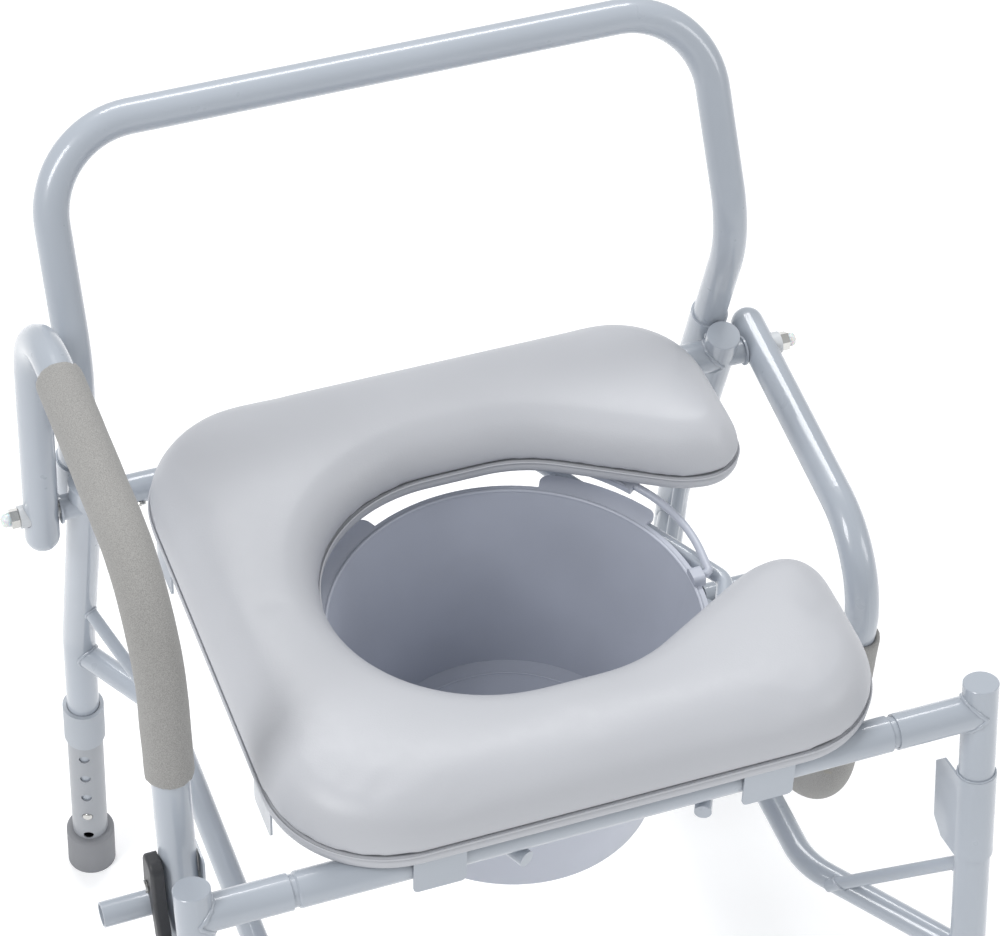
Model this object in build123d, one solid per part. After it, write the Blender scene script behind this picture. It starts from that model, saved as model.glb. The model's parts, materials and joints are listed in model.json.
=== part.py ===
"""Drop-arm commode chair: steel tube frame, padded seat with a side opening, pail and adjustable legs.

Millimetres. +X is the sitter's left when seated facing -Y, -Y is the front, +Z is up.
The origin is on the floor, at the centre of the outline. Levels are given from the floor; the
four rails and both arm pivots share the level RAIL_Z.
"""
import os
from math import atan2, cos, degrees, hypot, pi, radians, sin, tan

from build123d import *

# ---- overall layout -------------------------------------------------------------------------
RAIL_Z = 493.0          # height of the front and rear rail axes above the floor
FRONT_HALF = 281.6      # front post axis to the centre plane, at rail level
REAR_HALF = 248.0       # rear leg axis to the centre plane
FRAME_DEPTH = 393.0     # front rail axis to rear rail axis
ORIGIN_Y = 216.87       # front rail axis to the centre of the chair's outline
FRONT_Y = -ORIGIN_Y
REAR_Y = FRAME_DEPTH - ORIGIN_Y

# ---- frame tube -----------------------------------------------------------------------------
TUBE_OD = 25.4
TUBE_WALL = 1.2
FRONT_LEAN = 10.1       # degrees, front posts run forwards going down
REAR_LEAN = 16.2        # degrees, upper part of the rear legs runs back going down
FOOT_SPLAY = 4.0        # degrees, lower part of all four legs
FRONT_BEND_DROP = 222.0  # bend below rail level, measured straight down
REAR_BEND_DROP = 203.0
BEND_R = 90.0
FRONT_CAP_RISE = 21.5   # top of the front posts above rail level
REAR_CAP_RISE = 23.5
CAP_T = 2.0

# ---- rails and stretchers -------------------------------------------------------------------
STUB_END = 217.0        # where the rails plug into their stubs, from the centre plane
NECK_OD = TUBE_OD - 2.8
NECK_GAP = 4.0
REAR_NECK_LEFT = 36.0   # longer swaged neck at the left end of the rear rail
STRETCHER_OD = 19.05
STRETCHER_DROP = 222.0
STRETCHER_HALF = 203.0  # stretchers bow inwards to here
STRETCHER_R = 60.0
GUSSET_OD = 10.0

# ---- telescoping legs -----------------------------------------------------------------------
EXT_OD = TUBE_OD + 3.2    # slides over the leg tube with 0.4 mm all round
EXT_WALL = 1.2
TIP_OD = EXT_OD + 10.4
TIP_H = 42.0
HOLE_PITCH = 25.4
HOLE_D = 8.6
HOLE_COUNT = 5
FIRST_HOLE = 47.0       # lowest hole above the foot's underside, along the leg
BUTTON_HOLE = 1         # the button sits in the second hole from the bottom
BUTTON_D = 7.8
BUTTON_TURN = 20.0      # degrees, the holes face forwards and this much outwards
LEG_END = 50.0          # lower end of the inner tube above the foot's underside
EXT_TOP = 192.0
COLLAR_OD = EXT_OD + 4.0
COLLAR_BOTTOM = 166.0
COLLAR_TOP = 204.0

# ---- drop arms ------------------------------------------------------------------------------
PIVOT_GAP = 7.7         # between leg and arm at the pivot, filled by the spacer boss
ARM_HALF = REAR_HALF + TUBE_OD + PIVOT_GAP
ARM_TOE = 0.57          # degrees, the arm closes in towards the front
PIVOT_BACK = -2.6       # pivot relative to the rear rail axis
RISER_LEAN = 4.9
RISER_LEN = 218.0
RISER_TAIL = 37.0
ARM_DIP = 0.7
ARM_LEN = FRAME_DEPTH - 96.0
ARM_LEG_LEAN = 6.2
ARM_LEG_LEN = 322.0
ARM_REAR_R = 72.0
ARM_FRONT_R = 88.0
ARM_DROP = 92.3         # degrees between raised and lowered
GRIP_OD = TUBE_OD + 7.1
GRIP_START = 10.0       # foam starts this far past the rear bend
GRIP_LEG = 62.0         # foam runs this far down the front leg past the bend
BOLT_D = 8.0

# ---- arm latch ------------------------------------------------------------------------------
HANDLE_OD = 17.5
HANDLE_REACH = 331.0    # outer end of the stub handle, from the centre plane
LATCH_UP = 88.0         # latch pivot above the lower end of the arm's front leg
LEVER_T = 9.0
PLATE_REACH = 34.0      # bracket plates behind the front post's axis

# ---- backrest -------------------------------------------------------------------------------
BACK_HALF_TOP = 245.0
BACK_TOP_Y = 75.8       # top bar behind the rear rail axis
BACK_TOP_Z = 280.0      # top bar above rail level
BACK_KNEE_Z = 127.5
BACK_KNEE_R = 88.0
BACK_CORNER_R = 66.0
SOCKET_OD = TUBE_OD + 3.2
SOCKET_LOW = -34.0
SOCKET_HIGH = 25.0

# ---- seat -----------------------------------------------------------------------------------
SEAT_LAP = 18.5         # pad edge beyond the rail axes
SEAT_HALF = FRAME_DEPTH / 2 + SEAT_LAP   # square, so it also fits with its opening to the front
SEAT_GAP = 0.4
CLIP_T = 1.5
CLIP_W = 37.0
CLIP_OFFSET = 117.5
CLIP_DROP = 31.5
BOARD_T = 9.0
PAD_T = 38.5
PAD_EDGE_R = 26.0
OPENING_HALF = 113.0
MOUTH_HALF = 54.0

# ---- pail and its carrier -------------------------------------------------------------------
PAIL_X = 9.0
PAIL_Y = FRAME_DEPTH / 2 - 10.5          # behind the front rail axis
PAIL_R = 133.2          # inside the rim
PAIL_TAPER = 25.9       # the foot is this much smaller in radius
PAIL_WALL = 2.0
PAIL_DEPTH = 158.0
CARRIER_OD = 12.0
RIM_T = 3.0
LUG_R = PAIL_R + 19.8
BAIL_R = PAIL_R + 22.8
BAIL_OD = 6.0
BAIL_REST = 5.0         # degrees, the bail lies back with its band a little raised

R = TUBE_OD / 2


# ---- helpers --------------------------------------------------------------------------------
def vec(p):
    return Vector(*p)


def path_of(points, radii=None):
    """Straight runs joined by tangent arcs, one radius per inner point."""
    if len(points) == 2:
        return Line(*points)
    return FilletPolyline(*points, radius=radii)


def rod(points, radii, d):
    path = path_of(points, radii)
    plane = Plane(origin=path @ 0, z_dir=path % 0)
    return sweep(plane * Circle(d / 2), path=path)


def pipe(points, radii, od, wall):
    return rod(points, radii, od) - rod(points, radii, od - 2 * wall)


def cyl(a, b, d):
    """Cylinder of diameter d from point a to point b."""
    a, b = vec(a), vec(b)
    plane = Plane(origin=a, z_dir=b - a)
    return extrude(plane * Circle(d / 2), (b - a).length)


def ring(a, b, od, bore):
    return cyl(a, b, od) - cyl(a, b, bore)


def top_circle(shape):
    """Highest round edge of a shape."""
    return shape.edges().filter_by(GeomType.CIRCLE).sort_by(lambda e: e.arc_center.Z)[-1]


def hexagon(a, b, flats):
    a, b = vec(a), vec(b)
    plane = Plane(origin=a, z_dir=b - a)
    return extrude(plane * RegularPolygon(flats / 2, 6, major_radius=False), (b - a).length)


def along(a, b, t):
    """Point t millimetres from a towards b."""
    a, b = vec(a), vec(b)
    p = a + (b - a).normalized() * t
    return (p.X, p.Y, p.Z)


def flip(shape):
    return mirror(shape, about=Plane.YZ)


def save(name, *solids):
    """Write one node. Several solids make one group."""
    flat = []
    for s in solids:
        flat += list(s.solids())
    shape = flat[0] if len(flat) == 1 else Compound(children=flat)
    shape.label = name
    export_step(shape, "parts/" + name + ".step")


os.makedirs("parts", exist_ok=True)

# ---- front posts and rear legs --------------------------------------------------------------
tan_front = tan(radians(FRONT_LEAN))
tan_rear = tan(radians(REAR_LEAN))
tan_foot = tan(radians(FOOT_SPLAY))


def front_axis(z):
    """Y of a front post's axis at height z."""
    drop = RAIL_Z - z
    if drop <= FRONT_BEND_DROP:
        return FRONT_Y - drop * tan_front
    return FRONT_Y - FRONT_BEND_DROP * tan_front - (drop - FRONT_BEND_DROP) * tan_foot


def rear_axis(z):
    drop = RAIL_Z - z
    if drop <= REAR_BEND_DROP:
        return REAR_Y + drop * tan_rear
    return REAR_Y + REAR_BEND_DROP * tan_rear + (drop - REAR_BEND_DROP) * tan_foot


def leg_points(axis, x, rise, bend_drop, end_t):
    z_top, z_bend = RAIL_Z + rise, RAIL_Z - bend_drop
    z_end = end_t * cos(radians(FOOT_SPLAY))
    return [(x, axis(z_top), z_top), (x, axis(z_bend), z_bend), (x, axis(z_end), z_end)]


front_pts = leg_points(front_axis, -FRONT_HALF, FRONT_CAP_RISE, FRONT_BEND_DROP, LEG_END)
rear_pts = leg_points(rear_axis, -REAR_HALF, REAR_CAP_RISE, REAR_BEND_DROP, LEG_END)
front_solid = rod(front_pts, BEND_R, TUBE_OD)
rear_solid = rod(rear_pts, BEND_R, TUBE_OD)
front_post = pipe(front_pts, BEND_R, TUBE_OD, TUBE_WALL)
rear_leg = pipe(rear_pts, BEND_R, TUBE_OD, TUBE_WALL)


def top_cap(points):
    a = points[0]
    b = along(points[0], points[1], -CAP_T)
    return chamfer(top_circle(cyl(a, b, TUBE_OD)), 0.5)


caps = [top_cap(front_pts), top_cap(rear_pts)]

# ---- telescoping leg extensions, collars, feet and snap buttons -----------------------------
button_t = FIRST_HOLE + BUTTON_HOLE * HOLE_PITCH


def foot_frame(axis, x):
    """Foot centre on the floor and the unit vector up along the leg."""
    foot = vec((x, axis(0), 0))
    up = (vec((x, axis(100.0), 100.0)) - foot).normalized()
    return foot, up


def leg_set(axis, x):
    foot, up = foot_frame(axis, x)
    turn = radians(BUTTON_TURN) * (1 if x < 0 else -1)
    face = Vector(-sin(turn), -cos(turn), 0)
    face = (face - up * face.dot(up)).normalized()

    def at(t, out=0.0):
        p = foot + up * t + face * out
        return (p.X, p.Y, p.Z)

    # Feet stay flat on the floor although the legs splay.
    extension = ring(at(10), at(EXT_TOP), EXT_OD, EXT_OD - 2 * EXT_WALL)
    for i in range(HOLE_COUNT):
        t = FIRST_HOLE + i * HOLE_PITCH
        extension -= cyl(at(t, 4), at(t, 20), HOLE_D)
    collar = ring(at(COLLAR_BOTTOM), at(COLLAR_TOP), COLLAR_OD, EXT_OD)
    collar += ring(at(EXT_TOP), at(COLLAR_TOP), EXT_OD + 1, TUBE_OD + 0.7)
    collar += ring(at(COLLAR_BOTTOM - 3), at(COLLAR_BOTTOM + 3), COLLAR_OD - 2, EXT_OD)
    tip = cyl(at(-8), at(TIP_H), TIP_OD) & Pos(foot.X, foot.Y, 60) * Box(90, 90, 120)
    tip = fillet(top_circle(tip), 3.0)
    tip -= ring(at(10), at(TIP_H + 1), EXT_OD, EXT_OD - 2 * EXT_WALL)
    tip -= cyl(at(14), at(TIP_H + 1), EXT_OD - 2 * EXT_WALL + 0.02)
    button = cyl(at(button_t, 4.5), at(button_t, EXT_OD / 2 + 1.2), BUTTON_D)
    far = button.faces().sort_by(lambda f: f.center().dot(face))[-1]
    button = fillet(far.edges(), 1.8)
    leaf = Plane(origin=at(button_t - 8, 3.2), z_dir=up, x_dir=face) * Rectangle(0.8, 9)
    spring = extrude(leaf, 34)
    back = Plane(origin=at(button_t - 8, -9.5), z_dir=up, x_dir=face) * Rectangle(0.8, 9)
    spring += extrude(back, 34)
    bridge = Plane(origin=at(button_t + 25.2, -3.15), z_dir=up, x_dir=face) * Rectangle(13.5, 9)
    spring += extrude(bridge, 0.8)
    port = cyl(at(button_t, 8), at(button_t, 20), BUTTON_D + 0.8)
    return extension, collar, tip, button, spring, port


legs = {}
for place, axis, half in (("front", front_axis, FRONT_HALF), ("rear", rear_axis, REAR_HALF)):
    for side, sign in (("left", -1), ("right", 1)):
        legs[place + "_" + side] = leg_set(axis, sign * half)

springs = []
for key, (extension, collar, tip, button, spring, port) in legs.items():
    save("leg_extension_" + key, extension)
    save("leg_collar_" + key, collar)
    save("leg_tip_" + key, tip)
    save("snap_button_" + key, button)
    springs.append(spring)
save("snap_springs", *springs)

# ---- rails and the stubs they plug into -----------------------------------------------------


def stub(x_axis, y, post):
    tube = ring((x_axis, y, RAIL_Z), (-STUB_END, y, RAIL_Z), TUBE_OD, TUBE_OD - 2 * TUBE_WALL)
    return tube - post


front_stub = stub(-FRONT_HALF, FRONT_Y, front_solid)
rear_stub = stub(-REAR_HALF, REAR_Y, rear_solid)


def rail(y, neck_left, neck_right, plug):
    """Cross tube with swaged necks that plug into the stubs."""
    inner = NECK_OD - 2 * TUBE_WALL
    z = RAIL_Z
    a = -STUB_END + neck_left
    b = STUB_END - neck_right
    tube = ring((a, y, z), (b, y, z), TUBE_OD, inner)
    tube = chamfer(tube.edges().filter_by(lambda e: e.length > pi * (TUBE_OD - 0.5)), 1.2)
    tube += ring((-STUB_END - plug, y, z), (a + 1, y, z), NECK_OD, inner)
    tube += ring((b - 1, y, z), (STUB_END + plug, y, z), NECK_OD, inner)
    return tube


# Cross-head screw that locks the left end of the rear rail, low on its rear side's front.
screw = Cylinder(4.2, 2.4, align=(Align.CENTER, Align.CENTER, Align.MIN))
screw = fillet(screw.edges().group_by(Axis.Z)[-1], 1.0)
screw -= Pos(0, 0, 2.0) * (Box(5, 1.1, 1.6) + Box(1.1, 5, 1.6))
screw += Pos(0, 0, -3.0) * Cylinder(1.8, 7.0)
screw = Pos(-209, REAR_Y, RAIL_Z) * Rot(130, 0, 0) * Pos(0, 0, NECK_OD / 2 - 0.3) * screw
save("rail_screw", screw)
save("front_rail", rail(FRONT_Y, NECK_GAP, NECK_GAP, 26))
save("rear_rail", rail(REAR_Y, REAR_NECK_LEFT, NECK_GAP, 12) - screw)

# ---- side stretchers, bowed inwards so that the lowered arm has room -------------------------
z_s = RAIL_Z - STRETCHER_DROP
stretcher_pts = [
    (-REAR_HALF, rear_axis(z_s), z_s),
    (-STRETCHER_HALF, REAR_Y - 18, z_s),
    (-STRETCHER_HALF, FRONT_Y + 75, z_s),
    (-FRONT_HALF, front_axis(z_s), z_s),
]
stretcher = pipe(stretcher_pts, [STRETCHER_R, STRETCHER_R], STRETCHER_OD, TUBE_WALL)
stretcher = (stretcher - rear_solid - front_solid).solids().sort_by(SortBy.VOLUME)[-1]
stretcher_solid = rod(stretcher_pts, [STRETCHER_R, STRETCHER_R], STRETCHER_OD)

rear_gusset = cyl((-REAR_HALF, rear_axis(RAIL_Z - 146), RAIL_Z - 146),
                  (-STRETCHER_HALF, REAR_Y - 32, z_s), GUSSET_OD)
front_gusset = cyl((-FRONT_HALF, front_axis(RAIL_Z - 134), RAIL_Z - 134),
                   (-STRETCHER_HALF - 8, FRONT_Y + 50, z_s), GUSSET_OD)
gussets = []
for g, post in ((rear_gusset, rear_solid), (front_gusset, front_solid)):
    gussets.append((g - post - stretcher_solid).solids().sort_by(SortBy.VOLUME)[-1])

# ---- backrest loop and its sockets ----------------------------------------------------------
sock_off = (R + SOCKET_OD / 2 - 0.1) / cos(radians(REAR_LEAN))


def socket_point(dz, half=REAR_HALF):
    return (-half, REAR_Y - dz * tan_rear + sock_off, RAIL_Z + dz)


socket = ring(socket_point(SOCKET_LOW), socket_point(SOCKET_HIGH), SOCKET_OD, TUBE_OD + 0.2)
socket -= rear_solid + cyl((-230, REAR_Y, RAIL_Z), (-REAR_HALF, REAR_Y, RAIL_Z), TUBE_OD)
lower = socket_point(SOCKET_LOW + 12)
back_left = [lower, socket_point(BACK_KNEE_Z),
             (-BACK_HALF_TOP, REAR_Y + BACK_TOP_Y, RAIL_Z + BACK_TOP_Z)]
back_pts = back_left + [(-p[0], p[1], p[2]) for p in reversed(back_left)]
save("backrest_tube", pipe(back_pts, [BACK_KNEE_R, BACK_CORNER_R, BACK_CORNER_R, BACK_KNEE_R],
                           TUBE_OD, TUBE_WALL))
save("backrest_sockets", socket, flip(socket))

# ---- arm pivots -----------------------------------------------------------------------------
PIVOT_Y = REAR_Y + PIVOT_BACK
inner_face = ARM_HALF - R          # arm's inboard side at the pivot
outer_face = ARM_HALF + R


def px(x):
    """Point on the left arm's pivot axis."""
    return (-x, PIVOT_Y, RAIL_Z)


boss = cyl(px(REAR_HALF), px(inner_face - 1.8), 19.0) + cyl(px(inner_face - 1.9), px(inner_face - 0.4), 23.0)
boss -= rear_solid + cyl(px(REAR_HALF - 5), px(inner_face + 5), BOLT_D)
saddle = ring(px(outer_face - 3.5), px(outer_face + 3.6), 17.0, BOLT_D + 0.1)
bolt = cyl(px(REAR_HALF - R - 5), px(outer_face + 11.5), BOLT_D)
bolt += cyl(px(REAR_HALF - R - 5), px(REAR_HALF - R - 0.2), 13.0) - rear_solid
nut = hexagon(px(outer_face + 4.0), px(outer_face + 10.2), 13.0) - cyl(px(200), px(320), BOLT_D)
cap = cyl(px(outer_face + 10.2), px(outer_face + 17.0), 10.5)
cap = fillet(cap.edges().sort_by(Axis.X)[0], 3.6) - cyl(px(200), px(outer_face + 11.6), BOLT_D)
leg_hole = cyl(px(REAR_HALF - 40), px(REAR_HALF + 40), BOLT_D)
rear_leg -= leg_hole
rear_stub -= cyl(px(REAR_HALF - 40), px(REAR_HALF + 40), 15.0)

# ---- arm, built raised on the left ----------------------------------------------------------


def plane_point(u, v, off=0.0):
    """u is forwards from the pivot, v is up, off is outboard of the arm's own plane."""
    t = radians(ARM_TOE)
    return (-(ARM_HALF - u * sin(t) + off * cos(t)), PIVOT_Y - u * cos(t) - off * sin(t), RAIL_Z + v)


lean, dip, leg_lean = radians(RISER_LEAN), radians(ARM_DIP), radians(ARM_LEG_LEAN)
c1 = (RISER_LEN * sin(lean), RISER_LEN * cos(lean))
c2 = (c1[0] + ARM_LEN * cos(dip), c1[1] - ARM_LEN * sin(dip))
end = (c2[0] + ARM_LEG_LEN * sin(leg_lean), c2[1] - ARM_LEG_LEN * cos(leg_lean))
tail = (-RISER_TAIL * sin(lean), -RISER_TAIL * cos(lean))
arm_uv = [tail, c1, c2, end]
arm_pts = [plane_point(*p) for p in arm_uv]
arm_radii = [ARM_REAR_R, ARM_FRONT_R]


def bend_trim(a, b, c, r):
    """Distance from corner b to where its fillet of radius r starts."""
    ua = (a[0] - b[0], a[1] - b[1])
    uc = (c[0] - b[0], c[1] - b[1])
    dot = (ua[0] * uc[0] + ua[1] * uc[1]) / (hypot(*ua) * hypot(*uc))
    half = radians(degrees(atan2((1 - dot * dot) ** 0.5, dot))) / 2
    return r / tan(half)


trim1 = bend_trim(tail, c1, c2, ARM_REAR_R)
trim2 = bend_trim(c1, c2, end, ARM_FRONT_R)


def step_from(a, b, t):
    n = hypot(b[0] - a[0], b[1] - a[1])
    return (a[0] + (b[0] - a[0]) * t / n, a[1] + (b[1] - a[1]) * t / n)


grip_a = step_from(c1, c2, trim1 + GRIP_START)
grip_b = step_from(c2, end, trim2 + GRIP_LEG)
grip_pts = [plane_point(*p) for p in (grip_a, c2, grip_b)]
latch_uv = step_from(end, c2, LATCH_UP)

dome_c = step_from(tail, c1, R)
dome = Pos(*plane_point(*dome_c)) * Sphere(R)
tail_bar = cyl(plane_point(*dome_c), plane_point(*step_from(tail, c1, R + 1)), TUBE_OD)
arm_tube = pipe([plane_point(*dome_c)] + arm_pts[1:], arm_radii, TUBE_OD, TUBE_WALL)
keep = cyl(plane_point(*dome_c), plane_point(*step_from(tail, c1, -5)), TUBE_OD + 4)
arm_tube += (dome - Pos(*plane_point(*dome_c)) * Sphere(R - TUBE_WALL)) & keep
pivot_bore = cyl(px(ARM_HALF - 30), px(ARM_HALF + 30), 12.0)
arm_tube -= pivot_bore
arm_bush = ring(px(inner_face + 0.3), px(outer_face - 3.6), 12.0, BOLT_D + 0.12)
arm_tube -= ring(px(outer_face - 3.6), px(outer_face + 6), 17.6, 1.0)
grip = rod(grip_pts, [ARM_FRONT_R], GRIP_OD) - rod(grip_pts, [ARM_FRONT_R], TUBE_OD)

# ---- stub handle, latch lever, its pin and the backing plate ---------------------------------


def local(du, dv, off):
    """Point near the latch: du forwards and dv up from the latch pivot, off outboard."""
    return plane_point(latch_uv[0] + du, latch_uv[1] + dv, off)


handle = ring(local(-7, -26, 4), local(-7, -26, HANDLE_REACH - 278.0), HANDLE_OD, HANDLE_OD - 2.4)
arm_core = rod(arm_pts, arm_radii, TUBE_OD)
handle -= arm_core
latch_pin = cyl(local(0, 0, -R - 2.5), local(0, 0, R + LEVER_T + 0.9), 5.0)
latch_pin += cyl(local(0, 0, R + LEVER_T + 0.9), local(0, 0, R + LEVER_T + 2.5), 9.0)
arm_tube -= cyl(local(0, 0, -20), local(0, 0, 30), 5.0)

latch_plane = Plane(origin=local(0, 0, R + 0.4), x_dir=vec(local(1, 0, 0)) - vec(local(0, 0, 0)),
                    z_dir=vec(local(0, 0, 1)) - vec(local(0, 0, 0)))


def flat(points, radii, thick, offset=0.0):
    """Plate cut to a rounded outline in the arm's plane. Points are (forwards, up)."""
    up_sign = 1.0 if latch_plane.y_dir.Z > 0 else -1.0
    pts = [(p[0], up_sign * p[1]) for p in points]
    outline = FilletPolyline(*pts, radius=radii, close=True)
    return extrude(latch_plane.offset(offset) * make_face(outline), thick)


lever_outline = [(-11, 25), (10, 28), (13, -4), (21, -26), (22, -42), (13, -42), (8, -26), (2, -10), (-11, -8)]
lever = flat(lever_outline, [9, 8, 10, 12, 3.5, 3.5, 12, 4, 6], LEVER_T)
lever = fillet(lever.edges().group_by(Axis.X)[0], 2.5)
lever -= cyl(local(0, 0, 5), local(0, 0, 30), 5.12)
plate_outline = [(-12, 24), (12, 24), (12, -12), (-12, -12)]
backing = flat(plate_outline, [5, 5, 5, 5], 1.5, -(2 * R + 0.4) - 1.9)
backing -= cyl(local(0, 0, -30), local(0, 0, 30), 5.0)

# ---- latch bracket on the front post ---------------------------------------------------------
u_post = vec((0, -sin(radians(FRONT_LEAN)), -cos(radians(FRONT_LEAN))))


def post_at(drop):
    z = RAIL_Z - drop
    return vec((-FRONT_HALF, front_axis(z), z))


mid = post_at(90.0)
back_dir = Vector(0, cos(radians(FRONT_LEAN)), -sin(radians(FRONT_LEAN)))
bracket_plane = Plane(origin=mid - u_post * 36, x_dir=Vector(1, 0, 0), z_dir=u_post)
y_back = 1.0 if bracket_plane.y_dir.Y > 0 else -1.0
outer = Circle(R + 1.6) + Pos(0, y_back * PLATE_REACH / 2) * Rectangle(2 * (R + 1.6), PLATE_REACH)
inner = Circle(R + 0.02) + Pos(0, y_back * 20) * Rectangle(2 * (R + 0.02), PLATE_REACH + 12)
bracket = extrude(bracket_plane * (outer - inner), 72)
trim_plane = Plane(origin=mid, x_dir=back_dir, z_dir=Vector(1, 0, 0))
sgn = 1.0 if trim_plane.y_dir.Z > 0 else -1.0
corner = PLATE_REACH - 12
side_view = Polyline((-30, 36), (corner, 36), (PLATE_REACH, 25), (PLATE_REACH, -25), (corner, -36),
                     (-30, -36), close=True)
side_face = make_face(side_view)
bracket &= extrude(trim_plane.offset(-40) * side_face, 80)
striker = mid + back_dir * (PLATE_REACH - 7) + u_post * 4
striker_pin = cyl((striker.X - R - 1.6, striker.Y, striker.Z), (striker.X + R + 1.6, striker.Y, striker.Z), 6.0)
bracket += striker_pin

# ---- pail carrier ----------------------------------------------------------------------------
rod_z = RAIL_Z - R - CARRIER_OD / 2
pail_y = FRONT_Y + PAIL_Y


def carrier(sign):
    pts = [(PAIL_X + sign * 63.5, FRONT_Y - 10, rod_z),
           (PAIL_X + sign * (PAIL_R + 28.3), pail_y + 1, rod_z),
           (PAIL_X + sign * 43.0, REAR_Y + 8, rod_z)]
    body = rod(pts, [14.0], CARRIER_OD)
    return body


carriers = [carrier(1), carrier(-1)]
rails_solid = cyl((-300, FRONT_Y, RAIL_Z), (300, FRONT_Y, RAIL_Z), TUBE_OD)
rails_solid += cyl((-230, REAR_Y, RAIL_Z), (230, REAR_Y, RAIL_Z), TUBE_OD)
save("pail_carrier_rods", *[c - rails_solid for c in carriers])

# ---- pail ------------------------------------------------------------------------------------
rim_low = rod_z + CARRIER_OD / 2 + 0.3
rim_top = rim_low + RIM_T
base_z = rim_top - PAIL_DEPTH
taper_r = PAIL_R - PAIL_TAPER
wall = PAIL_WALL
profile = [
    (0, base_z + 3), (taper_r - 8, base_z + 3), (taper_r - 6, base_z), (taper_r, base_z),
    (PAIL_R + wall, rim_low), (PAIL_R + 6, rim_low), (PAIL_R + 6, rim_top), (PAIL_R, rim_top),
    (taper_r - wall, base_z + 6), (0, base_z + 6),
]
section = Plane.XZ * make_face(Polyline(*profile, close=True))
pail = Pos(PAIL_X, pail_y, 0) * revolve(section, Axis.Z)
for angle in (45, 135, 225, 315):
    arc = (CenterArc((0, 0), LUG_R, angle - 18, 36), CenterArc((0, 0), PAIL_R + 3, angle - 18, 36))
    edges = [Line(arc[0] @ 0, arc[1] @ 0), Line(arc[0] @ 1, arc[1] @ 1)]
    lug = make_face(Curve() + [*arc, *edges])
    corners = sorted(lug.vertices(), key=lambda v: hypot(v.X, v.Y))[-2:]
    lug = extrude(Plane.XY.offset(rim_low) * fillet(corners, 8.0), RIM_T)
    pail += Pos(PAIL_X, pail_y, 0) * lug
pin_z = rim_top + 3.4
for sign in (1, -1):
    # Upstanding ear on the rim with a blind hole for the bail's turned-in end.
    ear = Pos(PAIL_X + sign * (PAIL_R + 4.5), pail_y, rim_top + 3.2) * Box(9, 14, 8.4)
    ear = fillet(ear.edges().filter_by(Axis.X).group_by(Axis.Z)[-1], 3.5)
    pail += ear
    pail -= cyl((PAIL_X + sign * (PAIL_R + 1.6), pail_y, pin_z),
                (PAIL_X + sign * (PAIL_R + 27), pail_y, pin_z), BAIL_OD + 0.14)
save("pail", pail)

# ---- bail handle, folded back on the rim ------------------------------------------------------
bail_x = BAIL_R - 8.0
steps = range(20, 161, 28)
corner_r = BAIL_R / cos(radians(14))
bail_pts = [(PAIL_R + 2.2, 0, 0), (bail_x, 0, 0)]
bail_pts += [(corner_r * cos(radians(t)), corner_r * sin(radians(t)), 0) for t in steps]
bail_pts += [(-bail_x, 0, 0), (-PAIL_R - 2.2, 0, 0)]
bail_radii = [4.0, 110.0] + [0.9 * BAIL_R] * (len(steps) - 2) + [110.0, 4.0]
bail = rod(bail_pts, bail_radii, BAIL_OD)
a0, a1 = 36.0, 144.0
band_edges = (CenterArc((0, 0), BAIL_R + 7, a0, a1 - a0), CenterArc((0, 0), BAIL_R - 7, a0, a1 - a0))
band = make_face(Curve() + [*band_edges, Line(band_edges[0] @ 0, band_edges[1] @ 0),
                            Line(band_edges[0] @ 1, band_edges[1] @ 1)])
bail += extrude(Plane.XY.offset(-2.5) * band, 5.0)
bail = Pos(PAIL_X, pail_y, pin_z) * Rot(BAIL_REST, 0, 0) * bail
save("pail_handle", bail)

# ---- seat: clips, board and pad ---------------------------------------------------------------
seat_y = FRONT_Y + FRAME_DEPTH / 2
clip_low = RAIL_Z + R + SEAT_GAP
board_low = clip_low + CLIP_T
pad_low = board_low + BOARD_T


def seat_outline(inset):
    """Square pad with one side open. X and Y are from the seat's centre; the mouth faces +X."""
    s, o, m = SEAT_HALF - inset, OPENING_HALF + inset, MOUTH_HALF + inset
    left, mouth_x, wide_x = 89 - SEAT_HALF - inset, SEAT_HALF - 55, SEAT_HALF - 159
    pts = [(-s, -s), (s, -s), (s, -m + 8), (mouth_x, -m), (wide_x, -o), (left, -o),
           (left, o), (wide_x, o), (mouth_x, m), (s, m - 8), (s, s), (-s, s)]
    half = [85 - inset, 72 - inset, 34 - inset, 70 - inset, 105 + inset, o - 1]
    outline = FilletPolyline(*pts, radius=half + half[::-1], close=True)
    return make_face(outline)


pad_sketch = Pos(0, seat_y, pad_low) * seat_outline(0.0)
pad = extrude(pad_sketch, PAD_T)
pad = fillet(pad.edges().group_by(Axis.Z)[-1], PAD_EDGE_R)
save("seat_pad", pad)

reach = FRAME_DEPTH / 2 + R + 0.5


def clip(angle, along_side):
    """Sheet hook under the board: a flat leaf and a flange hanging outside the rail."""
    leaf_in = reach - 48
    leaf = Pos((reach + CLIP_T + leaf_in) / 2, along_side, clip_low + CLIP_T / 2) \
        * Box(reach + CLIP_T - leaf_in, CLIP_W, CLIP_T)
    flange = Pos(reach + CLIP_T / 2, along_side, clip_low + CLIP_T - CLIP_DROP / 2) \
        * Box(CLIP_T, CLIP_W, CLIP_DROP)
    hook = leaf + flange
    outer_edge = hook.edges().filter_by(Axis.Y).sort_by(lambda e: e.center().X + e.center().Z)[-1]
    hook = fillet(outer_edge, 1.3)
    lows = hook.edges().filter_by(Axis.X).group_by(Axis.Z)[0]
    hook = fillet(lows, 4.0)
    return Pos(0, seat_y, 0) * Rot(0, 0, angle) * hook


def clip_screw(angle, along_side, d=3.5):
    x = reach - 38
    head = Pos(x, along_side, clip_low - 0.9) * Cylinder(3.6, 1.8)
    shank = Pos(x, along_side, clip_low + 4.0) * Cylinder(d / 2, 8.0)
    return Pos(0, seat_y, 0) * Rot(0, 0, angle) * (head + shank)


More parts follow.
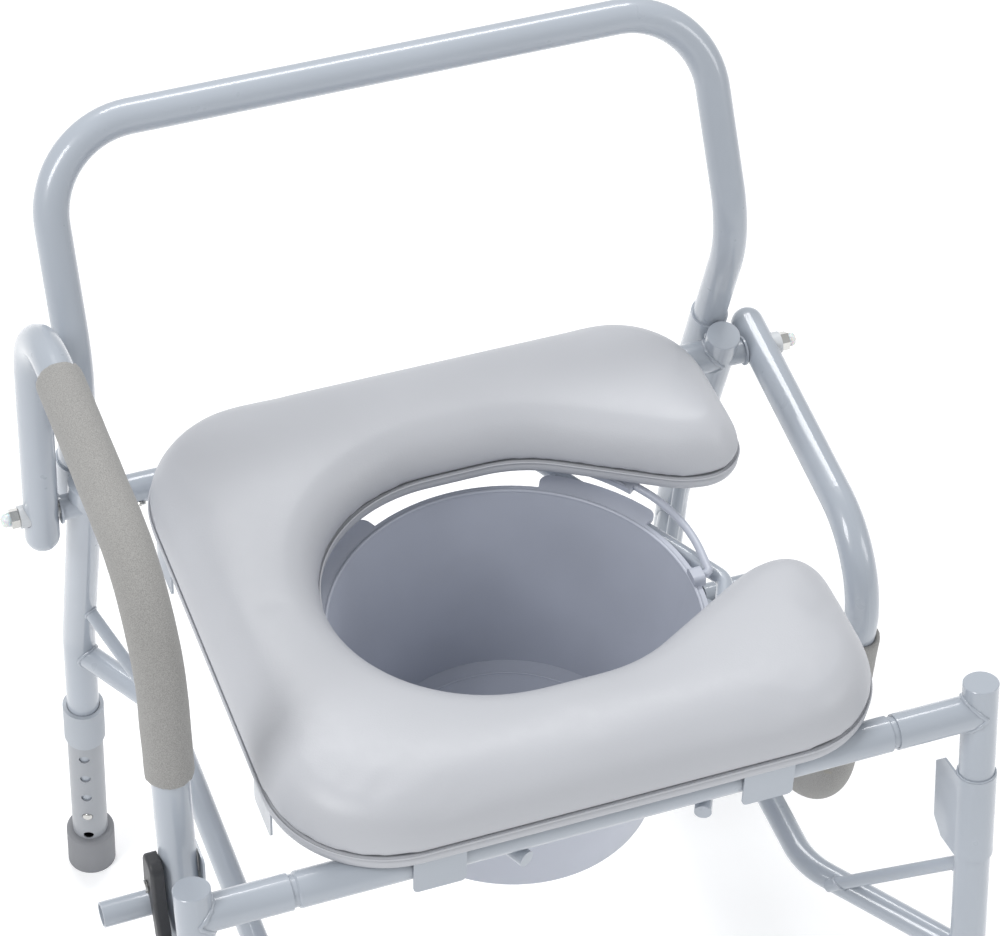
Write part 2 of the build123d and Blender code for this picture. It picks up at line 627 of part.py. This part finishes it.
board = extrude(Pos(0, seat_y, board_low) * seat_outline(4.0), BOARD_T)
clips, screws = [], []
for side in (-90, 90, 180):
    for s in (-1, 1):
        pair = [clip_screw(side, s * CLIP_OFFSET + t) for t in (-10, 10)]
        hook = clip(side, s * CLIP_OFFSET)
        for one in pair:
            hook -= one
            board -= one
        clips.append(hook)
        screws += pair
save("seat_board", board)
save("seat_clips", *clips)
save("clip_screws", *screws)

# ---- write the paired nodes -------------------------------------------------------------------
pivot_center = (0, PIVOT_Y, RAIL_Z)


def lowered(shape):
    """Mirror a raised left-arm piece to the right and swing it down."""
    right = flip(shape)
    return Pos(*pivot_center) * Rot(ARM_DROP, 0, 0) * Pos(0, -PIVOT_Y, -RAIL_Z) * right


pairs = [("front_post", front_post - legs["front_left"][5]), ("rear_leg", rear_leg - legs["rear_left"][5]),
         ("side_stretcher", stretcher)]
for name, shape in pairs:
    save(name + "_left", shape)
    save(name + "_right", flip(shape))
save("rail_stubs", front_stub, rear_stub, flip(front_stub), flip(rear_stub))
save("gusset_rods", *gussets, *[flip(g) for g in gussets])
save("post_caps", *caps, *[flip(c) for c in caps])
save("pivot_bosses", boss, flip(boss))
save("pivot_bolts", bolt, flip(bolt))
save("pivot_nuts", nut, flip(nut))
save("nut_caps", cap, flip(cap))
save("latch_brackets", bracket, flip(bracket))
for name, shape in (("arm_tube", arm_tube), ("arm_grip", grip), ("arm_bush", arm_bush),
                    ("arm_saddle", saddle), ("arm_handle", handle), ("latch_lever", lever),
                    ("latch_pin", latch_pin), ("latch_plate", backing)):
    save(name + "_left", shape)
    save(name + "_right", lowered(shape))
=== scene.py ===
"""Looks of the drop-arm commode chair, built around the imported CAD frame. Metres, row frame."""
import json
import math
import random

import bmesh
import bpy
import numpy as np
from mathutils import Matrix, Vector, noise
from mathutils.bvhtree import BVHTree
from mathutils.kdtree import KDTree


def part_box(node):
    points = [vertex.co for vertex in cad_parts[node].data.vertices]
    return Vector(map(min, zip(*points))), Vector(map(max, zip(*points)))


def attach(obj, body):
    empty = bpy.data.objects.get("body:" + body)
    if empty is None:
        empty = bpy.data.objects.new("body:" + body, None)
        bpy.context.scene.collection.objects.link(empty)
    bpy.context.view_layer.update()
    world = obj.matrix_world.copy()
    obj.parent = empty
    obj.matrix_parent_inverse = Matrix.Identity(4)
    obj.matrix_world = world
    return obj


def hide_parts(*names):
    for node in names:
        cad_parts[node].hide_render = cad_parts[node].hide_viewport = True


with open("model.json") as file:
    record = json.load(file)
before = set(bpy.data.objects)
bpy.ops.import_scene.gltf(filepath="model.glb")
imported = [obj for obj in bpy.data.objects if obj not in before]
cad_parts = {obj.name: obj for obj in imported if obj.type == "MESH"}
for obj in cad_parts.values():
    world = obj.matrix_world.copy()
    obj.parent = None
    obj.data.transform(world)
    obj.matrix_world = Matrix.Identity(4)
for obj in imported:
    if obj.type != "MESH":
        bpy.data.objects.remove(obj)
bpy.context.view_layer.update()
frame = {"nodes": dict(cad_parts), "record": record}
nodes = frame["nodes"]
scene = bpy.context.scene
MM = 0.001
SIDES = ("left", "right")


# ---- node material helpers ------------------------------------------------------------------
class Look:
    """A Principled material with object-space procedural detail."""

    def __init__(self, name, color, rough, metal=0.0, **sockets):
        self.mat = bpy.data.materials.new(name)
        self.mat.use_nodes = True
        self.tree = self.mat.node_tree
        self.bsdf = self.tree.nodes["Principled BSDF"]
        self.bsdf.inputs["Base Color"].default_value = (*color, 1.0)
        self.bsdf.inputs["Roughness"].default_value = rough
        self.bsdf.inputs["Metallic"].default_value = metal
        for key, value in sockets.items():
            self.bsdf.inputs[key.replace("_", " ")].default_value = value
        self.coords = self.tree.nodes.new("ShaderNodeTexCoord").outputs["Object"]
        self.normal = None

    def link(self, a, b):
        self.tree.links.new(a, b)

    def noise(self, scale, detail=2.0, rough=0.5):
        n = self.tree.nodes.new("ShaderNodeTexNoise")
        n.inputs["Scale"].default_value = scale
        n.inputs["Detail"].default_value = detail
        n.inputs["Roughness"].default_value = rough
        self.link(self.coords, n.inputs["Vector"])
        return n.outputs["Fac"]

    def cells(self, scale):
        n = self.tree.nodes.new("ShaderNodeTexVoronoi")
        n.inputs["Scale"].default_value = scale
        self.link(self.coords, n.inputs["Vector"])
        return n.outputs["Distance"]

    def ramp(self, value, low, high, a=0.35, b=0.65):
        """Colour ramp from low to high over the value range a to b."""
        r = self.tree.nodes.new("ShaderNodeValToRGB")
        r.color_ramp.elements[0].position = a
        r.color_ramp.elements[1].position = b
        r.color_ramp.elements[0].color = (*low, 1.0)
        r.color_ramp.elements[1].color = (*high, 1.0)
        self.link(value, r.inputs["Fac"])
        return r.outputs["Color"]

    def mix(self, fac, a, b):
        m = self.tree.nodes.new("ShaderNodeMix")
        m.data_type = "RGBA"
        self.link(fac, m.inputs["Factor"])
        for value, index in ((a, 6), (b, 7)):
            if isinstance(value, tuple):
                m.inputs[index].default_value = (*value, 1.0)
            else:
                self.link(value, m.inputs[index])
        return m.outputs[2]

    def color(self, value):
        self.link(value, self.bsdf.inputs["Base Color"])

    def rough(self, value, low, high):
        m = self.tree.nodes.new("ShaderNodeMapRange")
        m.inputs["To Min"].default_value = low
        m.inputs["To Max"].default_value = high
        self.link(value, m.inputs["Value"])
        self.link(m.outputs["Result"], self.bsdf.inputs["Roughness"])

    def bump(self, value, strength, height):
        b = self.tree.nodes.new("ShaderNodeBump")
        b.inputs["Strength"].default_value = strength
        b.inputs["Distance"].default_value = height
        self.link(value, b.inputs["Height"])
        if self.normal is not None:
            self.link(self.normal, b.inputs["Normal"])
        self.normal = b.outputs["Normal"]
        self.link(self.normal, self.bsdf.inputs["Normal"])


def scaled(color, k):
    return tuple(c * k for c in color)


def paint_look():
    base = (0.385, 0.42, 0.47)
    look = Look("powder_coat", base, 0.3, Coat_Weight=0.6, Coat_Roughness=0.07)
    look.color(look.ramp(look.noise(6.0, 3.0), scaled(base, 0.96), scaled(base, 1.03)))
    look.rough(look.noise(60.0), 0.24, 0.36)
    look.bump(look.noise(900.0, 1.0), 0.10, 0.0002)
    look.bump(look.noise(240.0, 1.0), 0.06, 0.0004)
    return look.mat


def vinyl_look():
    base = (0.475, 0.485, 0.515)
    look = Look("seat_vinyl", base, 0.42, Specular_IOR_Level=0.45)
    look.color(look.ramp(look.noise(5.0, 3.0), scaled(base, 0.97), scaled(base, 1.02)))
    look.rough(look.noise(90.0, 3.0), 0.36, 0.48)
    look.bump(look.cells(850.0), 0.16, 0.00025)
    look.bump(look.noise(300.0, 3.0), 0.10, 0.0003)
    return look.mat


def moulded_look(name, base, low, high, grain=500.0, strength=0.08):
    look = Look(name, base, (low + high) / 2)
    look.color(look.ramp(look.noise(9.0, 3.0), scaled(base, 0.95), scaled(base, 1.04)))
    look.rough(look.noise(80.0, 2.0), low, high)
    look.bump(look.noise(grain, 2.0), strength, 0.0003)
    return look.mat


def foam_look():
    base = (0.315, 0.31, 0.30)
    look = Look("grip_foam", base, 0.9, Specular_IOR_Level=0.2, Sheen_Weight=0.15)
    speckle = look.ramp(look.noise(1500.0, 2.0, 0.7), scaled(base, 0.80), scaled(base, 1.14),
                        0.36, 0.62)
    smudge = look.ramp(look.noise(22.0, 4.0, 0.6), (0, 0, 0), (1, 1, 1), 0.66, 0.76)
    look.color(look.mix(smudge, speckle, (0.36, 0.31, 0.20)))
    look.bump(look.cells(1400.0), 0.35, 0.0005)
    look.bump(look.noise(500.0, 3.0), 0.3, 0.0006)
    return look.mat


def metal_look(name, base, low, high, brushed=700.0):
    look = Look(name, base, low, 1.0)
    look.color(look.ramp(look.noise(40.0, 3.0), scaled(base, 0.9), base))
    look.rough(look.noise(260.0, 3.0), low, high)
    look.bump(look.noise(brushed, 2.0), 0.05, 0.0001)
    return look.mat


def cap_look():
    look = Look("translucent_cap", (0.90, 0.90, 0.88), 0.25, Subsurface_Weight=0.4,
                Transmission_Weight=0.25)
    look.rough(look.noise(150.0), 0.2, 0.35)
    look.bump(look.noise(300.0), 0.06, 0.0002)
    return look.mat


PAINT = paint_look()
VINYL = vinyl_look()
FOAM = foam_look()
STEEL = metal_look("plated_steel", (0.66, 0.655, 0.63), 0.10, 0.24)
CAP = cap_look()
COLLAR = moulded_look("collar_plastic", (0.40, 0.43, 0.47), 0.36, 0.50)
TIP = moulded_look("tip_rubber", (0.225, 0.23, 0.245), 0.62, 0.80, 650.0, 0.22)
PAIL = moulded_look("pail_plastic", (0.45, 0.475, 0.545), 0.30, 0.42, 420.0, 0.07)
# Leg extensions: the more neutral grey than the frame's paint is their own tone; the darker value is
# painted shade of the lower legs.
LEG_TONE_AND_SHADE = moulded_look("leg_paint", (0.33, 0.345, 0.37), 0.26, 0.38, 900.0, 0.08)
BLACK = moulded_look("black_plastic", (0.035, 0.036, 0.04), 0.38, 0.55, 600.0, 0.12)
NYLON = moulded_look("nylon", (0.60, 0.62, 0.64), 0.35, 0.5)
BOARD = moulded_look("board_plastic", (0.30, 0.31, 0.33), 0.5, 0.7, 300.0, 0.15)
LOOKS = {"frame_paint": PAINT, "leg_paint": LEG_TONE_AND_SHADE, "plated_steel": STEEL, "grey_plastic": COLLAR,
         "tip_rubber": TIP, "grip_foam": FOAM, "black_plastic": BLACK, "clear_cap": CAP,
         "nylon": NYLON, "seat_vinyl": VINYL, "board_plastic": BOARD, "pail_plastic": PAIL}

for part in frame["record"]["subparts"]:
    node = nodes[part["node"]]
    node.data.materials.clear()
    node.data.materials.append(LOOKS[part["material_slot"]])


# ---- mesh helpers ---------------------------------------------------------------------------
def dressed(obj, material, body):
    """Gives an object its material, smooth shading and body."""
    obj.data.materials.clear()
    obj.data.materials.append(material)
    for poly in obj.data.polygons:
        poly.use_smooth = True
    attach(obj, body)
    return obj


def new_object(name, mesh, material, body):
    obj = bpy.data.objects.new(name, mesh)
    scene.collection.objects.link(obj)
    return dressed(obj, material, body)


def merged(node):
    """bmesh of a CAD node with its split vertices joined."""
    bm = bmesh.new()
    bm.from_mesh(nodes[node].data)
    bmesh.ops.remove_doubles(bm, verts=bm.verts, dist=1e-6)
    return bm


EDGES = {}


def edge_points(node):
    """Both ends of each edge of a CAD node, as two arrays."""
    if node not in EDGES:
        mesh = nodes[node].data
        points = np.empty(len(mesh.vertices) * 3)
        mesh.vertices.foreach_get("co", points)
        ends = np.empty(len(mesh.edges) * 2, dtype=np.int64)
        mesh.edges.foreach_get("vertices", ends)
        points, ends = points.reshape(-1, 3), ends.reshape(-1, 2)
        EDGES[node] = points[ends[:, 0]], points[ends[:, 1]]
    return EDGES[node]


def section(node, axis, level, keep=None):
    """Centre and size of a CAD node's cut at a level of one axis, over the points that keep accepts."""
    a, b = edge_points(node)
    crossing = (a[:, axis] - level) * (b[:, axis] - level) < 0
    a, b = a[crossing], b[crossing]
    share = ((level - a[:, axis]) / (b[:, axis] - a[:, axis]))[:, None]
    points = a + (b - a) * share
    if keep is not None:
        points = points[keep(points)]
    low, high = Vector(points.min(0)), Vector(points.max(0))
    return (low + high) / 2, high - low


def loft(name, loop, radius, material, body, closed=True, sides=8, ripple=0.0, seed=1):
    """Round bead along a list of points, with a weld's ripple where asked."""
    rng = random.Random(seed)
    count = len(loop)
    bm = bmesh.new()
    rings = []
    for i, p in enumerate(loop):
        after = loop[(i + 1) % count] if closed or i + 1 < count else p
        before = loop[i - 1] if closed or i else p
        along = (after - before).normalized()
        up = along.orthogonal().normalized() if not rings else (up - along * up.dot(along)).normalized()
        across = along.cross(up)
        r = radius * (1 + ripple * math.sin(i * 2.1) + ripple * 0.6 * rng.uniform(-1, 1))
        if not closed and i in (0, count - 1):
            r *= 0.45
        rings.append([bm.verts.new(p + (up * math.cos(t) + across * math.sin(t)) * r)
                      for t in (2 * math.pi * k / sides for k in range(sides))])
    pairs = list(zip(rings, rings[1:])) + ([(rings[-1], rings[0])] if closed else [])
    for a, b in pairs:
        shift = 0
        if b is rings[0]:
            shift = min(range(sides), key=lambda s: (a[0].co - b[s].co).length)
        for k in range(sides):
            bm.faces.new((a[k], a[(k + 1) % sides], b[(k + 1 + shift) % sides], b[(k + shift) % sides]))
    if not closed:
        bm.faces.new(list(reversed(rings[0])))
        bm.faces.new(rings[-1])
    bmesh.ops.recalc_face_normals(bm, faces=bm.faces)
    mesh = bpy.data.meshes.new(name)
    bm.to_mesh(mesh)
    bm.free()
    return new_object(name, mesh, material, body)


def saddle(start, along, r_small, post_a, post_b, r_big, count=44):
    """Where a tube leaving a post's axis comes out through the post's side."""
    along = along.normalized()
    u = along.orthogonal().normalized()
    w = along.cross(u)
    post = (post_b - post_a).normalized()
    points = []
    for i in range(count):
        t = 2 * math.pi * i / count
        o = start + (u * math.cos(t) + w * math.sin(t)) * r_small
        rel = o - post_a
        rp = rel - post * rel.dot(post)
        ap = along - post * along.dot(post)
        a, b, c = ap.dot(ap), 2 * rp.dot(ap), rp.dot(rp) - r_big * r_big
        reach = (-b + math.sqrt(max(b * b - 4 * a * c, 0.0))) / (2 * a)
        points.append(o + along * reach)
    return points


def weld(name, loop, radius=1.7 * MM, closed=True, seed=1, body="frame"):
    return loft(name, loop, radius, PAINT, body, closed, 8, 0.16, seed)


# ---- main axes, read from the CAD -----------------------------------------------------------
STRETCHER_R = 9.5 * MM
GUSSET_R = 5 * MM
low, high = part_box("front_rail")
rail_z, tube_r = (low.z + high.z) / 2, (high.z - low.z) / 2
front_y = (low.y + high.y) / 2


def post_line(node):
    """Two points on the straight upper part of a post."""
    return [section(node, 2, rail_z + dz)[0] for dz in (-0.08, -0.01)]


def lower_line(node, z):
    return [section(node, 2, z + dz)[0] for dz in (-0.012, 0.012)]


def joint_welds():
    for side in SIDES:
        sign = -1 if side == "left" else 1
        for place in ("front", "rear"):
            node = ("front_post_" if place == "front" else "rear_leg_") + side
            a, b = post_line(node)
            start = a.lerp(b, (rail_z - a.z) / (b.z - a.z))
            loop = saddle(start, Vector((-sign, 0, 0)), tube_r, a, b, tube_r)
            weld("weld_" + place + "_stub_" + side, loop, seed=3)
            # The stretcher's last straight run gives its direction at the post.
            x_end = section(node, 2, rail_z - 0.222)[0]
            inner_x = sign * (abs(x_end.x) - 0.018)
            near = section("side_stretcher_" + side, 0, inner_x,
                           lambda p, f=place: (p[:, 1] < 0) == (f == "front"))[0]
            far = section("side_stretcher_" + side, 0, sign * (abs(x_end.x) - 0.026),
                          lambda p, f=place: (p[:, 1] < 0) == (f == "front"))[0]
            run = far - near
            start = near - run * ((abs(x_end.x) - abs(near.x)) / (abs(near.x) - abs(far.x)))
            a, b = lower_line(node, start.z)
            weld("weld_" + place + "_stretcher_" + side, saddle(start, run, STRETCHER_R, a, b, tube_r),
                 1.5 * MM, seed=5)


def gusset_welds():
    """Each gusset rod is welded to its post above and to the stretcher below."""
    low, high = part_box("gusset_rods")
    for side in SIDES:
        sign = -1 if side == "left" else 1
        for place in ("front", "rear"):
            def mine(p, s=sign, f=place):
                return (p[:, 0] * s > 0) & ((p[:, 1] < 0) == (f == "front"))
            z0, z1 = low.z + 0.028, high.z - 0.03
            a, b = section("gusset_rods", 2, z0, mine)[0], section("gusset_rods", 2, z1, mine)[0]
            node = ("front_post_" if place == "front" else "rear_leg_") + side
            up = (b - a).normalized()
            c, d = lower_line(node, b.z + 0.015)
            top = b + up * 0.01
            for _ in range(4):       # walks up the rod's line to the post's axis
                gap = abs(section(node, 2, top.z)[0].x - top.x)
                top += up * (gap / max(abs(up.x), 0.2))
            weld("weld_gusset_top_" + place + "_" + side, saddle(top, -up, GUSSET_R, c, d, tube_r, 24),
                 1.2 * MM, seed=7)
            bottom, top_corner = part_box("side_stretcher_" + side)
            centre_z = (bottom.z + top_corner.z) / 2
            foot = a + up * ((centre_z - a.z) / up.z)
            line = (foot, foot + Vector((0, 1, 0)))
            weld("weld_gusset_foot_" + place + "_" + side,
                 saddle(foot, up, GUSSET_R, *line, STRETCHER_R, 24), 1.2 * MM, seed=9)


def socket_welds():
    """Two upright beads hold each backrest socket to its rear leg."""
    low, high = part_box("backrest_sockets")
    for side in SIDES:
        sign = -1 if side == "left" else 1
        centre_x = section("rear_leg_" + side, 2, rail_z)[0].x
        for inner in (-1, 1):
            loop = []
            for k in range(15):
                z = low.z + 0.012 + (high.z - low.z - 0.024) * k / 14
                leg = section("rear_leg_" + side, 2, z)[0]
                loop.append(Vector((centre_x + inner * 0.0062, leg.y + 0.0126, z)))
            tag, seed = ("out", 11) if inner * sign > 0 else ("in", 13)
            weld(f"weld_socket_{side}_{tag}", loop, 1.9 * MM, False, seed)


def bracket_welds():
    """Thin ring of weld where each latch bracket's sleeve ends on the front post."""
    low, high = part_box("latch_brackets")
    for side in SIDES:
        for tag, z in (("top", high.z - 0.002), ("low", low.z + 0.008)):
            a, b = lower_line("front_post_" + side, z)
            up = (b - a).normalized()
            u = up.orthogonal().normalized()
            w = up.cross(u)
            centre = a.lerp(b, 0.5)
            loop = [centre + (u * math.cos(t) + w * math.sin(t)) * (tube_r + 0.6 * MM)
                    for t in (2 * math.pi * k / 40 for k in range(40))]
            weld(f"weld_bracket_{tag}_{side}", loop, 0.9 * MM, True, 15)


joint_welds()
gusset_welds()
socket_welds()
bracket_welds()


# ---- soft pieces ----------------------------------------------------------------------------
def applied(obj):
    """Replace an object's mesh with what its modifiers make of it."""
    graph = bpy.context.evaluated_depsgraph_get()
    mesh = bpy.data.meshes.new_from_object(obj.evaluated_get(graph))
    obj.modifiers.clear()
    obj.data = mesh
    return obj


def soft_copy(node, name, voxel):
    bm = merged(node)
    mesh = bpy.data.meshes.new(name)
    bm.to_mesh(mesh)
    bm.free()
    obj = bpy.data.objects.new(name, mesh)
    scene.collection.objects.link(obj)
    remesh = obj.modifiers.new("remesh", "REMESH")
    remesh.mode = "VOXEL"
    remesh.voxel_size = voxel
    return applied(obj)


def relax(obj, factor, times):
    smooth = obj.modifiers.new("smooth", "SMOOTH")
    smooth.factor = factor
    smooth.iterations = times
    return applied(obj)


ROUNDING = 34 * MM       # the cushion's top rounds off over this width
EDGE_SHARE = 0.42        # height of the cushion at its very edge, as a share of the whole
SWELL = 7.0 * MM         # the most that the foam swells its cover


def seat_cushion(outline):
    """Foam pad under stretched vinyl: swollen by cloth pressure, flat where it sits on the board."""
    obj = soft_copy("seat_pad", "seat_cushion", 5 * MM)
    low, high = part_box("seat_pad")
    relax(obj, 0.5, 4)
    edge = KDTree(len(outline))
    for index, p in enumerate(outline):
        edge.insert((p.x, p.y, 0), index)
    edge.balance()
    for v in obj.data.vertices:
        v.co -= v.normal * 1.0 * MM
        inwards = min(edge.find((v.co.x, v.co.y, 0))[2] / ROUNDING, 1.0)
        share = EDGE_SHARE + (1 - EDGE_SHARE) * math.sqrt(1 - (1 - inwards) ** 2)
        v.co.z = low.z + max(v.co.z - low.z, 0.0) * share
    start = [v.co.copy() for v in obj.data.vertices]
    pin = obj.vertex_groups.new(name="pin")
    pin.add([v.index for v in obj.data.vertices if v.co.z < low.z + 6 * MM], 1.0, "REPLACE")
    cloth = obj.modifiers.new("cloth", "CLOTH")
    cloth.settings.quality = 6
    cloth.settings.mass = 0.3
    cloth.settings.tension_stiffness = 18
    cloth.settings.compression_stiffness = 18
    cloth.settings.shear_stiffness = 8
    cloth.settings.bending_stiffness = 1.5
    cloth.settings.use_pressure = True
    cloth.settings.uniform_pressure_force = 4.0
    cloth.settings.vertex_group_mass = "pin"
    cloth.settings.effector_weights.gravity = 0.0
    for number in range(1, 21):
        scene.frame_set(number)
    applied(obj)
    scene.frame_set(1)
    for v, rest in zip(obj.data.vertices, start):
        move = v.co - rest
        if move.length > SWELL:
            move *= SWELL / move.length
        v.co = rest + move
        # Slow unevenness of the foam, only in the upper part of the cushion.
        rise = max(0.0, min(1.0, (v.co.z - low.z - 0.015) / 0.02))
        v.co.z += rise * 0.6 * MM * noise.noise(v.co * 9.0)
        v.co.z = max(v.co.z, low.z + 0.1 * MM)
    relax(obj, 0.5, 4)
    subdivide = obj.modifiers.new("subdivide", "SUBSURF")
    subdivide.levels = 1
    subdivide.render_levels = 1
    applied(obj)
    dressed(obj, VINYL, "seat")
    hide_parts("seat_pad")


def grip(side):
    """Closed-cell foam sleeve with soft rounded ends and a slightly uneven skin."""
    node = "arm_grip_" + side
    obj = soft_copy(node, "foam_grip_" + side, 2 * MM)
    relax(obj, 0.5, 6)
    for v in obj.data.vertices:
        v.co += v.normal * (0.25 * MM + 0.25 * MM * noise.noise(v.co * 45.0))
    dressed(obj, FOAM, "arm_" + side)
    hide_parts(node)


def chained(edges):
    """One closed list of points from loose edges."""
    follow = {}
    for a, b in edges:
        follow.setdefault(a, []).append(b)
        follow.setdefault(b, []).append(a)
    start = next(iter(follow))
    loop, before, here = [start], None, start
    while True:
        after = next((p for p in follow[here] if p != before), None)
        if after is None or after == start:
            return loop
        loop.append(after)
        before, here = here, after


def even(points, step):
    """Points at an even spacing along a closed outline."""
    points = points + [points[0]]
    made, left = [], 0.0
    for a, b in zip(points, points[1:]):
        length = (b - a).length
        t = left
        while t < length:
            made.append(a.lerp(b, t / length))
            t += step
        left = t - length
    return made


def pad_outline():
    """The pad's lower edge, evenly spaced."""
    low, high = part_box("seat_pad")
    bm = merged("seat_pad")
    edges = []
    for e in bm.edges:
        if len(e.link_faces) == 2 and all(abs(v.co.z - low.z) < 1e-5 for v in e.verts):
            flat = [abs(f.normal.z) > 0.7 for f in e.link_faces]
            if flat[0] != flat[1]:
                edges.append(tuple(tuple(round(c, 6) for c in v.co) for v in e.verts))
    bm.free()
    return even([Vector(p) for p in chained(edges)], 3 * MM)


def inset_loop(loop, amount):
    """The outline moved towards its inside."""
    area = sum(a.x * b.y - b.x * a.y for a, b in zip(loop, loop[1:] + loop[:1]))
    turn = 1 if area > 0 else -1
    moved = []
    for i, p in enumerate(loop):
        along = (loop[(i + 1) % len(loop)] - loop[i - 1]).normalized()
        moved.append(p + Vector((-along.y, along.x, 0)) * turn * amount)
    return moved


WRAP_R = 3.0 * MM        # the turned-down vinyl bulges this far either side of its middle


def seat_wrap(outline):
    """Vinyl turned down over the board's edge, with the pressed line where pad and board meet."""
    pad_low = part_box("seat_pad")[0].z
    board_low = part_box("seat_board")[0].z
    middle = (pad_low + board_low) / 2
    half = (pad_low - board_low) / 2
    loop = [Vector((p.x, p.y, middle - 0.2 * MM)) for p in inset_loop(outline, 3.4 * MM)]
    wrap = loft("seat_wrap", loop, WRAP_R, VINYL, "seat", True, 12)
    for v in wrap.data.vertices:
        v.co.z = middle + (v.co.z - middle) * (half + 0.6 * MM) / WRAP_R
    seam = [Vector((p.x, p.y, pad_low + 0.3 * MM)) for p in inset_loop(outline, 0.5 * MM)]
    loft("seat_seam", seam, 0.8 * MM, VINYL, "seat", True, 8)


outline = pad_outline()
seat_cushion(outline)
seat_wrap(outline)
for side in SIDES:
    grip(side)


# ---- pail and bail details ------------------------------------------------------------------
def circle(centre, radius, z, start=0.0, end=360.0, count=96):
    full = end - start >= 360.0
    steps = count if full else count - 1
    angles = (math.radians(start + (end - start) * k / steps) for k in range(count))
    return [Vector((centre.x + radius * math.cos(t), centre.y + radius * math.sin(t), z))
            for t in angles]


PIVOT_RISE = 3.4 * MM    # the bail's pivot above the pail's rim


def bail_pivot():
    joint = next(j for j in frame["record"]["behaviour"]["joints"] if j["name"] == "bail_swing")
    return Vector(joint["pos_m"])


def pail_details():
    low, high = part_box("pail")
    bm = merged("pail")
    tree = BVHTree.FromBMesh(bm)
    bm.free()
    centre = (low + high) / 2
    floor = tree.ray_cast(Vector((centre.x, centre.y, high.z + 0.01)), Vector((0, 0, -1)))[0].z
    for index, radius in enumerate((0.092, 0.062)):
        loft(f"pail_ring_{index}", circle(centre, radius, floor), 1.1 * MM, PAIL, "pail")
    rim = bail_pivot().z - PIVOT_RISE
    wall = tree.ray_cast(Vector((centre.x, centre.y, rim - 1 * MM)), Vector((0, 1, 0)))[0]
    loft("pail_lip", circle(centre, wall.y - centre.y + 1.2 * MM, rim - 0.3 * MM), 1.5 * MM, PAIL,
         "pail")


def bail_details():
    """Raised edges and two fine lines on the handle's broad band, which lies tilted at rest."""
    pivot = bail_pivot()
    reach = 0.135
    far = section("pail_handle", 1, pivot.y + reach, lambda p: abs(p[:, 0] - pivot.x) < 0.09)[0]
    tilt = math.atan2(far.z - pivot.z, reach)
    outer = (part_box("pail_handle")[1].y - pivot.y) / math.cos(tilt)
    centre = Vector(((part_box("pail")[0].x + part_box("pail")[1].x) / 2, pivot.y, pivot.z))
    turn = Matrix.Translation(centre) @ Matrix.Rotation(tilt, 4, "X")
    flat = Vector((0, 0, 0))
    for tag, drop, radius in (("out", 1.3, 1.0), ("in", 12.7, 1.0), ("a", 5.2, 0.5), ("b", 8.8, 0.5)):
        loop = [turn @ p for p in circle(flat, outer - drop * MM, 2.5 * MM, 38, 142, 60)]
        loft("bail_line_" + tag, loop, radius * MM, PAIL, "bail", False)


pail_details()
bail_details()

# ---- studio ---------------------------------------------------------------------------------
floor_mesh = bpy.data.meshes.new("studio_floor")
REACH = 14.0
floor_mesh.from_pydata([(-REACH, -REACH, 0), (REACH, -REACH, 0), (REACH, REACH, 0),
                        (-REACH, REACH, 0)], [], [(0, 1, 2, 3)])
floor_obj = bpy.data.objects.new("studio_floor", floor_mesh)
scene.collection.objects.link(floor_obj)
floor_look = Look("studio_floor", (0.90, 0.90, 0.90), 0.9, Specular_IOR_Level=0.1,
                  Emission_Color=(1.0, 1.0, 1.0, 1.0), Emission_Strength=0.22)
floor_look.color(floor_look.ramp(floor_look.noise(0.6), (0.90, 0.90, 0.905), (0.92, 0.92, 0.92)))
floor_mesh.materials.append(floor_look.mat)

world = bpy.data.worlds.new("studio")
scene.world = world
world.use_nodes = True
world.node_tree.nodes["Background"].inputs["Color"].default_value = (0.97, 0.985, 1.0, 1.0)
world.node_tree.nodes["Background"].inputs["Strength"].default_value = 0.62
scene.view_settings.view_transform = "Standard"


def softbox(name, place, target, width, height, power):
    light = bpy.data.lights.new(name, "AREA")
    light.shape = "RECTANGLE"
    light.size, light.size_y = width, height
    light.energy = power
    obj = bpy.data.objects.new(name, light)
    scene.collection.objects.link(obj)
    obj.location = place
    obj.rotation_mode = "QUATERNION"
    obj.rotation_quaternion = (Vector(target) - Vector(place)).to_track_quat("-Z", "Y")


softbox("key", (-2.4, -0.8, 3.0), (0, 0, 0.4), 0.9, 1.6, 52)
softbox("fill", (2.8, -1.8, 2.2), (0, 0, 0.4), 1.0, 1.4, 20)
softbox("top", (0.4, 1.6, 3.2), (0, 0, 0.4), 2.2, 0.6, 44)

# ---- camera at the photograph's angle -------------------------------------------------------
AZIMUTH, ELEVATION, ROLL = math.radians(-21.33), math.radians(44.38), math.radians(2.02)
back = Vector((math.sin(AZIMUTH) * math.cos(ELEVATION), -math.cos(AZIMUTH) * math.cos(ELEVATION),
               math.sin(ELEVATION)))
right = Vector((math.cos(AZIMUTH), math.sin(AZIMUTH), 0))
up = back.cross(right)
cam_x = right * math.cos(ROLL) + up * math.sin(ROLL)
cam_y = up * math.cos(ROLL) - right * math.sin(ROLL)
camera = bpy.data.cameras.new("camera")
camera.sensor_width = 36.0
camera.lens = 130.2
cam = bpy.data.objects.new("camera", camera)
scene.collection.objects.link(cam)
cam.matrix_world = Matrix.Translation((-0.6410, front_y - 1.4375, rail_z + 1.8554)) \
    @ Matrix((cam_x, cam_y, back)).transposed().to_4x4()
camera.clip_start, camera.clip_end = 0.05, 60.0
scene.camera = cam
